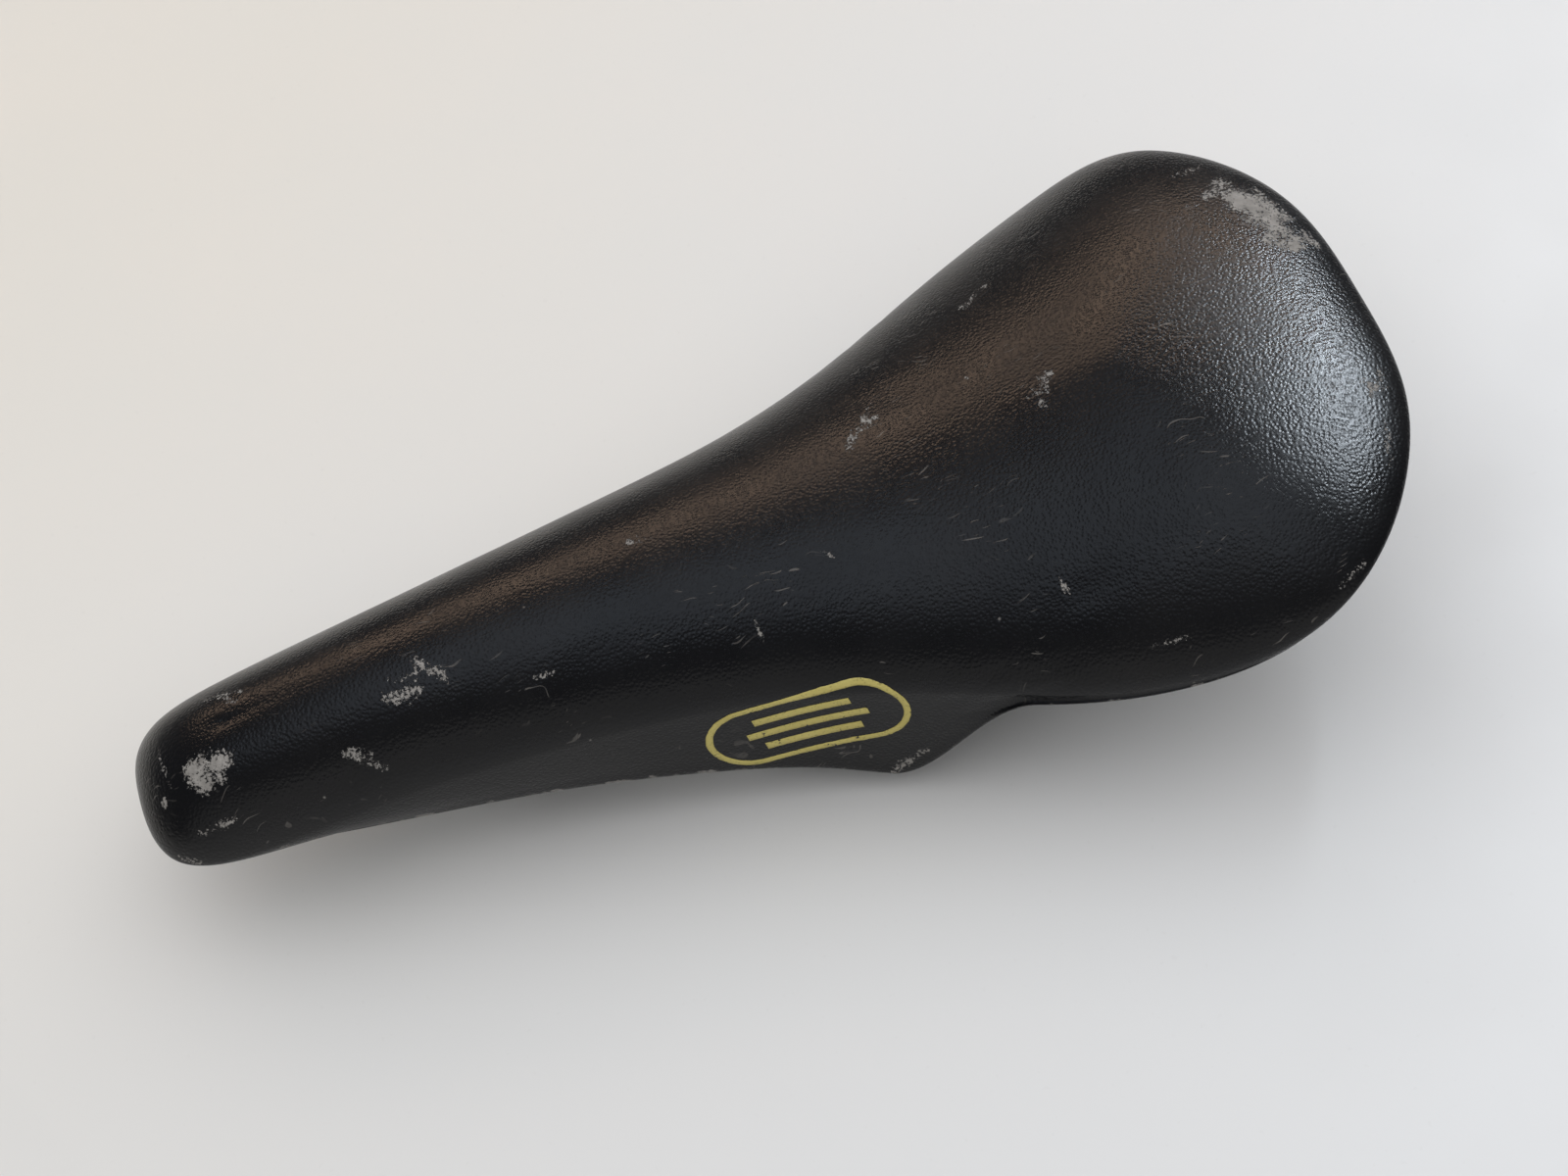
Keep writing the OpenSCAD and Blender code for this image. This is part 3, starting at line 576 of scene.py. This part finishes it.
def foil_mark(name, node, side, material):
    points, faces = [], []

    def strip(lines, closed):
        """A flat band over rows of points (rows across, points along), with a top, a bottom and edges."""
        rows, n = len(lines), len(lines[0])
        base = sum(len(p) for p in points)
        for height in (FOIL_HIGH, FOIL_LOW):
            for line in lines:
                points.append(mark_points(line[:, 0], line[:, 1], height))
        last = n if closed else n - 1
        for layer in (0, 1):
            for r in range(rows - 1):
                for k in range(last):
                    a, b = base + (layer * rows + r) * n + k, base + (layer * rows + r) * n + (k + 1) % n
                    faces.append((a, b, b + n, a + n) if layer == 0 else (a, a + n, b + n, b))
        for r in (0, rows - 1):
            for k in range(last):
                a, b = base + r * n + k, base + r * n + (k + 1) % n
                faces.append((a, a + rows * n, b + rows * n, b))
        if not closed:
            for k in (0, n - 1):
                for r in range(rows - 1):
                    a = base + r * n + k
                    faces.append((a, a + n, a + n + rows * n, a + rows * n))

    rng = np.random.default_rng(7)
    n = 360
    wobble = np.convolve(np.tile(rng.normal(0, 0.05, n), 3), np.ones(4) / 4, "same")[n:2 * n]
    outer, inner = ring_line(0.0, n), ring_line(MARK_LINE, n)
    shares = np.linspace(0, 1, 4)
    strip([outer + (inner - outer) * (s + wobble * (1 - 2 * s))[:, None] for s in shares], True)
    for height, length in BARS:
        x = np.linspace(-0.5, 0.5, 60) * MARK_L * length
        rough = np.convolve(rng.normal(0, 0.06, 60), np.ones(3) / 3, "same")
        strip([np.stack([x, height * MARK_H + (s - 0.5) * (BAR_W + rough)], 1) for s in shares], False)
    points = np.vstack(points) * [side, 1, 1]
    piece = cleaned(mesh_piece(name, points, faces, material))
    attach(piece, "root")
    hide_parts(node)


# ---------------------------------------------------------------- materials
class Shading:
    """A node material, built in a few short calls. Inputs are sockets or plain values."""

    def __init__(self, name):
        self.material = bpy.data.materials.new(name)
        self.material.use_nodes = True
        self.tree = self.material.node_tree
        self.tree.nodes.clear()
        self.place = self.add("ShaderNodeTexCoord").outputs["Object"]

    def add(self, kind, inputs=None, **settings):
        node = self.tree.nodes.new(kind)
        for key, value in settings.items():
            setattr(node, key, value)
        for key, value in (inputs or {}).items():
            socket = node.inputs[key]
            if isinstance(value, bpy.types.NodeSocket):
                self.tree.links.new(value, socket)
            else:
                socket.default_value = value
        return node

    def noise(self, scale, detail=3.0, rough=0.5, at=None):
        inputs = {"Vector": at or self.place, "Scale": scale, "Detail": detail, "Roughness": rough}
        return self.add("ShaderNodeTexNoise", inputs).outputs["Fac"]

    def cells(self, scale, feature="F1"):
        inputs = {"Vector": self.place, "Scale": scale, "Randomness": 1.0}
        return self.add("ShaderNodeTexVoronoi", inputs, feature=feature).outputs["Distance"]

    def stretched(self, scale, turn=(0, 0, 0), at=None):
        inputs = {"Vector": at or self.place, "Scale": scale, "Rotation": turn}
        return self.add("ShaderNodeMapping", inputs).outputs[0]

    def sum(self, operation, a, b=0.0):
        return self.add("ShaderNodeMath", {0: a, 1: b}, operation=operation).outputs[0]

    def times(self, a, b):
        return self.sum("MULTIPLY", a, b)

    def plus(self, a, b):
        return self.sum("ADD", a, b)

    def span(self, value, low, high, to_low=0.0, to_high=1.0):
        """Maps low..high to to_low..to_high, smoothly and clamped."""
        inputs = {"Value": value, "From Min": low, "From Max": high, "To Min": to_low, "To Max": to_high}
        return self.add("ShaderNodeMapRange", inputs, interpolation_type="SMOOTHSTEP").outputs["Result"]

    def tint(self, share, a, b):
        node = self.add("ShaderNodeMix", {"Factor": share}, data_type="RGBA")
        for slot, value in ((6, a), (7, b)):
            if isinstance(value, bpy.types.NodeSocket):
                self.tree.links.new(value, node.inputs[slot])
            else:
                node.inputs[slot].default_value = (*value, 1)
        return node.outputs[2]

    def painted(self, name):
        return self.add("ShaderNodeAttribute", attribute_name=name).outputs["Fac"]

    def bump(self, height, distance, strength=1.0, under=None):
        inputs = {"Height": height, "Distance": distance, "Strength": strength}
        if under:
            inputs["Normal"] = under
        return self.add("ShaderNodeBump", inputs).outputs["Normal"]

    def surface(self, **inputs):
        names = {k.replace("_", " "): v for k, v in inputs.items()}
        shader = self.add("ShaderNodeBsdfPrincipled", names)
        out = self.add("ShaderNodeOutputMaterial")
        self.tree.links.new(shader.outputs[0], out.inputs[0])
        return self.material


def leather_material():
    s = Shading("black_leather")
    grain = s.span(s.cells(1300), 0.0, 0.75)
    pores = s.noise(2600, 2)
    folds = s.cells(330, "DISTANCE_TO_EDGE")
    creased = s.span(folds, 0.0, 0.10, 1.0, 0.0)
    cloud = s.noise(34, 4)
    coarse = s.noise(240, 4, 0.6)
    # Abrasion: the painted amount, broken up by noise so that its edges turn to grains and flecks.
    broken = s.plus(s.times(s.noise(1500, 3, 0.7), 2.3), s.times(coarse, 1.5))
    worn = s.sum("SUBTRACT", s.plus(s.painted("worn"), broken), 1.9)
    worn = s.times(worn, s.span(s.painted("worn"), 0.06, 0.3))
    abraded = s.span(worn, 0.56, 0.86)
    # Nicks along the hem's edge, more of them where the noise is high.
    hem = s.painted("hem")
    nick = s.span(s.times(hem, s.plus(coarse, s.times(cloud, 0.6))), 0.86, 0.98)
    # Fine bent scratches in three directions, and loose specks.
    marks = []
    wander = s.add("ShaderNodeTexNoise", {"Vector": s.place, "Scale": 70.0}).outputs["Color"]
    wander = s.add("ShaderNodeVectorMath", {0: wander, 1: (0.012,) * 3}, operation="MULTIPLY").outputs[0]
    bent = s.add("ShaderNodeVectorMath", {0: s.place, 1: wander}, operation="ADD").outputs[0]
    for scale, turn in (((1300, 110, 200), (0.0, 0.0, 0.9)), ((1500, 150, 200), (0.1, 0.1, -0.5)),
                        ((1700, 240, 260), (0.0, 0.2, 2.2))):
        line = s.noise(1.0, 1.0, 0.5, s.stretched(scale, turn, bent))
        marks.append(s.span(line, 0.71, 0.75))
    scratch = s.sum("MAXIMUM", s.sum("MAXIMUM", marks[0], marks[1]), marks[2])
    where = s.span(s.noise(48, 3), 0.50, 0.64)
    scratch = s.times(scratch, where)
    speck = s.span(s.cells(120), 0.0, 0.055, 1.0, 0.0)
    speck = s.times(speck, s.span(s.noise(55, 1), 0.53, 0.6))
    base = s.tint(s.span(cloud, 0.35, 0.75), (0.0030, 0.0030, 0.0036), (0.0054, 0.0051, 0.0054))
    # Darker along the grain's creases: painted shade in the grooves.
    base = s.tint(s.times(creased, 0.25), base, (0.002, 0.002, 0.0024))
    base = s.tint(s.times(scratch, 0.55), base, (0.14, 0.128, 0.115))
    base = s.tint(s.times(speck, 0.75), base, (0.30, 0.28, 0.255))
    bare = s.tint(s.noise(420, 3), (0.10, 0.092, 0.082), (0.40, 0.38, 0.35))
    base = s.tint(s.times(nick, 0.7), base, bare)
    base = s.tint(abraded, base, bare)
    flesh = s.tint(s.noise(1500, 3), (0.09, 0.055, 0.032), (0.20, 0.135, 0.085))
    base = s.tint(s.painted("cut"), base, flesh)
    rough = s.span(s.noise(60, 3), 0.3, 0.7, 0.22, 0.29)
    rough = s.plus(rough, s.times(pores, 0.06))
    rough = s.sum("MAXIMUM", rough, s.times(abraded, 0.8))
    rough = s.sum("MAXIMUM", rough, s.times(s.painted("cut"), 0.95))
    low = s.bump(s.noise(110, 3), 0.00012, 0.25)
    low = s.bump(grain, 0.00009, 0.55, low)
    low = s.bump(s.times(creased, -1.0), 0.00002, 0.3, low)
    low = s.bump(pores, 0.00003, 0.5, low)
    low = s.bump(s.times(s.plus(abraded, s.times(scratch, 0.5)), -1.0), 0.0001, 0.6, low)
    return s.surface(Base_Color=base, Roughness=rough, Normal=low, Specular_IOR_Level=0.33)


def foam_material():
    s = Shading("foam")
    pores = s.span(s.cells(1300), 0.0, 0.5)
    base = s.tint(s.noise(90, 4), (0.50, 0.40, 0.23), (0.62, 0.52, 0.33))
    # Darker in the pores: painted shade inside the hollows.
    base = s.tint(s.span(pores, 0.2, 0.8, 0.6, 0.0), base, (0.33, 0.25, 0.13))
    rough = s.span(pores, 0, 1, 0.85, 0.98)
    return s.surface(Base_Color=base, Roughness=rough, Normal=s.bump(pores, 0.0003, 0.7))


def nylon_material():
    s = Shading("moulded_nylon")
    flow = s.noise(1.0, 4, 0.6, s.stretched((60, 22, 60)))
    dust = s.span(s.noise(260, 4, 0.65), 0.56, 0.74)
    base = s.tint(flow, (0.018, 0.018, 0.019), (0.034, 0.033, 0.032))
    base = s.tint(s.times(dust, 0.35), base, (0.13, 0.12, 0.10))
    rough = s.span(s.plus(flow, s.times(dust, 0.3)), 0.3, 0.9, 0.38, 0.62)
    height = s.bump(s.noise(1400, 2), 0.00004, 0.5, s.bump(flow, 0.0003, 0.25))
    return s.surface(Base_Color=base, Roughness=rough, Normal=height)


def chrome_material():
    s = Shading("rail_chrome")
    drawn = s.noise(1.0, 3, 0.6, s.stretched((1500, 90, 1500)))
    haze = s.noise(70, 4)
    pits = s.span(s.cells(420), 0.0, 0.10, 1.0, 0.0)
    pits = s.times(pits, s.span(s.noise(90, 2), 0.52, 0.62))
    base = s.tint(haze, (0.60, 0.60, 0.61), (0.72, 0.72, 0.71))
    base = s.tint(s.times(pits, 0.7), base, (0.16, 0.10, 0.06))
    rough = s.plus(s.span(haze, 0.3, 0.7, 0.09, 0.22), s.times(pits, 0.4))
    rough = s.plus(rough, s.times(drawn, 0.05))
    height = s.bump(drawn, 0.00001, 0.35, s.bump(s.times(pits, -1.0), 0.00004, 0.6))
    return s.surface(Base_Color=base, Metallic=1.0, Roughness=rough, Normal=height)


def plate_material(name, light, dark, scale):
    s = Shading(name)
    brushed = s.noise(1.0, 4, 0.65, s.stretched(scale))
    blotch = s.noise(120, 4)
    rust = s.span(s.noise(210, 5, 0.7), 0.60, 0.72)
    base = s.tint(blotch, dark, light)
    base = s.tint(s.times(rust, 0.55), base, (0.16, 0.085, 0.045))
    rough = s.plus(s.span(blotch, 0.3, 0.7, 0.28, 0.42), s.times(rust, 0.35))
    height = s.bump(brushed, 0.00003, 0.4, s.bump(rust, 0.00005, 0.4))
    return s.surface(Base_Color=base, Metallic=1.0, Roughness=rough, Normal=height)


def foil_material():
    s = Shading("worn_gold_foil")
    fine = s.noise(1500, 4, 0.6)
    flaked = s.span(s.plus(s.noise(420, 4, 0.6), s.times(fine, 0.35)), 0.80, 0.87)
    grain = s.span(s.cells(1300), 0.0, 0.75)
    base = s.tint(s.noise(160, 3), (0.50, 0.42, 0.11), (0.64, 0.55, 0.18))
    # Darker gold in the grain's hollows: painted shade.
    base = s.tint(s.span(grain, 0.0, 0.55, 0.35, 0.0), base, (0.14, 0.11, 0.03))
    base = s.tint(flaked, base, (0.02, 0.018, 0.012))
    rough = s.span(fine, 0.3, 0.7, 0.42, 0.6)
    metal = s.span(flaked, 0, 1, 0.2, 0.0)
    return s.surface(Base_Color=base, Metallic=metal, Roughness=rough, Normal=s.bump(grain, 0.00009, 0.7))


def floor_material():
    s = Shading("pale_table")
    # Warmer towards the far side and the nose, cooler towards the near side and the tail: painted warm and
    # cool light across the table.
    axes = s.add("ShaderNodeSeparateXYZ", {0: s.place}).outputs
    across = s.plus(s.plus(axes[0], axes[1]), s.times(s.noise(3, 2), 0.3))
    wide = s.span(across, -0.3, 0.4)
    base = s.tint(wide, (0.72, 0.69, 0.625), (0.715, 0.72, 0.715))
    base = s.tint(s.span(s.noise(500, 2), 0.68, 0.75, 0.0, 0.08), base, (0.52, 0.50, 0.47))
    rough = s.span(s.noise(18, 3), 0.3, 0.7, 0.42, 0.55)
    return s.surface(Base_Color=base, Roughness=rough, Specular_IOR_Level=0.35,
                     Normal=s.bump(s.noise(700, 3), 0.00005, 0.2))


# ---------------------------------------------------------------- scene
def dress_steel():
    chrome = chrome_material()
    plate = plate_material("plated_plate", (0.62, 0.61, 0.57), (0.45, 0.45, 0.44), (60, 900, 900))
    rivet = plate_material("plated_rivet", (0.58, 0.57, 0.54), (0.38, 0.38, 0.37), (500, 500, 500))
    for name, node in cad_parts.items():
        if name.startswith("rail_"):
            material = chrome
        elif "rivets" in name or "washers" in name:
            material = rivet
        elif "clamp" in name or "bracket" in name or "bridge" in name:
            material = plate
        else:
            continue
        for slot in node.material_slots:
            slot.material = material


LIT_POINT = Vector((0, 0, 0.04))


def softbox(name, direction, distance, size, power, colour, seen_in="both", turn=0.0):
    """A rectangular lamp facing the saddle. seen_in "gloss" lights only reflections and "matt" all else."""
    light = bpy.data.lights.new(name, "AREA")
    light.shape = "RECTANGLE"
    light.size, light.size_y = size
    light.energy = power
    light.color = colour
    obj = bpy.data.objects.new(name, light)
    bpy.context.collection.objects.link(obj)
    obj.location = Vector(direction).normalized() * distance
    obj.visible_glossy = seen_in != "matt"
    obj.visible_diffuse = seen_in != "gloss"
    obj.rotation_euler = (LIT_POINT - obj.location).to_track_quat("-Z", "Y").to_euler()
    obj.rotation_euler.rotate_axis("Z", turn)


def lights():
    softbox("window", (-0.39, 0.53, 0.75), 1.5, (0.70, 0.08), 17, (0.82, 0.91, 1.0), "gloss", 2.14)
    softbox("sky", (-0.05, -0.12, 1.0), 2.2, (1.6, 1.2), 6.0, (0.76, 0.86, 1.0), "gloss")
    softbox("warm_wall", (-0.77, 0.05, 0.60), 1.8, (2.0, 0.24), 8.0, (1.0, 0.70, 0.50), "gloss")
    softbox("ceiling", (-0.20, 0.15, 1.0), 2.0, (7.0, 7.0), 175, (0.98, 0.98, 1.0), "matt")
    softbox("near_side", (0.92, -0.15, 0.30), 2.2, (3.2, 1.4), 6, (1.0, 0.98, 0.95))
    world = bpy.data.worlds.new("studio")
    bpy.context.scene.world = world
    world.use_nodes = True
    ground = world.node_tree.nodes["Background"]
    ground.inputs["Color"].default_value = (0.90, 0.93, 1.0, 1)
    ground.inputs["Strength"].default_value = 0.13


def floor():
    bpy.ops.mesh.primitive_plane_add(size=6, location=(0, 0, cad_box[0].z))
    table = bpy.context.object
    table.name = "table"
    table.data.materials.append(floor_material())


# The photograph's viewing angle: degrees round from the nose, above the table and of roll.
CAMERA_AZIMUTH, CAMERA_HEIGHT, CAMERA_ROLL = 84.31, 52.29, -14.48
CAMERA_DISTANCE = 0.6341
CAMERA_TARGET = Vector((0.01113, 0.00426, 0.041))


def camera():
    a, e, r = (math.radians(k) for k in (CAMERA_AZIMUTH, CAMERA_HEIGHT, CAMERA_ROLL))
    back = Vector((math.sin(a) * math.cos(e), -math.cos(a) * math.cos(e), math.sin(e)))
    right = Vector((math.cos(a), math.sin(a), 0))
    up = back.cross(right)
    right, up = right * math.cos(r) + up * math.sin(r), up * math.cos(r) - right * math.sin(r)
    data = bpy.data.cameras.new("camera")
    data.lens, data.sensor_width = 70, 36
    data.clip_start = 0.01
    eye = bpy.data.objects.new("camera", data)
    bpy.context.collection.objects.link(eye)
    eye.matrix_world = Matrix.Translation(CAMERA_TARGET + back * CAMERA_DISTANCE) @ Matrix(
        (right, up, back)).transposed().to_4x4()
    bpy.context.scene.camera = eye


bpy.context.scene.view_settings.view_transform = "Standard"
camera()
floor()
lights()
leather_cover(leather_material())
foam_pad(foam_material())
shell(nylon_material())
foil = foil_material()
foil_mark("foil_left", "foil_mark_left", 1, foil)
foil_mark("foil_right", "foil_mark_right", -1, foil)
dress_steel()
